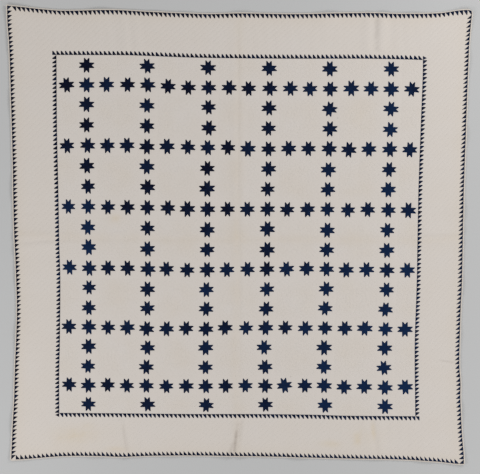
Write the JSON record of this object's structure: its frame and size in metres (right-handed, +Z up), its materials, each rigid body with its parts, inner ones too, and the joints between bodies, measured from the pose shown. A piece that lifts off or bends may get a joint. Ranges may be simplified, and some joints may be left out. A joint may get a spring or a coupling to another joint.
{
  "type": "star quilt",
  "caption": "Pieced cotton bed quilt spread flat: blocks of small eight-pointed stars, sawtooth frames, a wide plain border and a narrow binding.",
  "frame": {"origin": "middle of the quilt's bounding box, on the surface it rests on", "axes": "+Z up out of the face, +X to the right and +Y to the top of the face as seen from above"},
  "size_m": [2.0393, 2.0108, 0.01],
  "materials": {
    "pieced_cotton": "matte, hand-quilted",
    "sawtooth_cotton": "matte, pieced",
    "border_cotton": "matte, hand-quilted",
    "binding_cotton": "matte, folded"
  },
  "bodies": {
    "root": {"block_1_1": "pieced_cotton", "block_1_2": "pieced_cotton", "block_1_3": "pieced_cotton", "block_1_4": "pieced_cotton", "block_1_5": "pieced_cotton", "block_1_6": "pieced_cotton", "block_2_1": "pieced_cotton", "block_2_2": "pieced_cotton", "block_2_3": "pieced_cotton", "block_2_4": "pieced_cotton", "block_2_5": "pieced_cotton", "block_2_6": "pieced_cotton", "block_3_1": "pieced_cotton", "block_3_2": "pieced_cotton", "block_3_3": "pieced_cotton", "block_3_4": "pieced_cotton", "block_3_5": "pieced_cotton", "block_3_6": "pieced_cotton", "block_4_1": "pieced_cotton", "block_4_2": "pieced_cotton", "block_4_3": "pieced_cotton", "block_4_4": "pieced_cotton", "block_4_5": "pieced_cotton", "block_4_6": "pieced_cotton", "block_5_1": "pieced_cotton", "block_5_2": "pieced_cotton", "block_5_3": "pieced_cotton", "block_5_4": "pieced_cotton", "block_5_5": "pieced_cotton", "block_5_6": "pieced_cotton", "block_6_1": "pieced_cotton", "block_6_2": "pieced_cotton", "block_6_3": "pieced_cotton", "block_6_4": "pieced_cotton", "block_6_5": "pieced_cotton", "block_6_6": "pieced_cotton", "inner_sawtooth_top": "sawtooth_cotton", "inner_sawtooth_bottom": "sawtooth_cotton", "inner_sawtooth_left": "sawtooth_cotton", "inner_sawtooth_right": "sawtooth_cotton", "border_top": "border_cotton", "border_bottom": "border_cotton", "border_left": "border_cotton", "border_right": "border_cotton", "outer_sawtooth_top": "sawtooth_cotton", "outer_sawtooth_bottom": "sawtooth_cotton", "outer_sawtooth_left": "sawtooth_cotton", "outer_sawtooth_right": "sawtooth_cotton", "binding_top": "binding_cotton", "binding_bottom": "binding_cotton", "binding_left": "binding_cotton", "binding_right": "binding_cotton"}
  },
  "joints": []
}
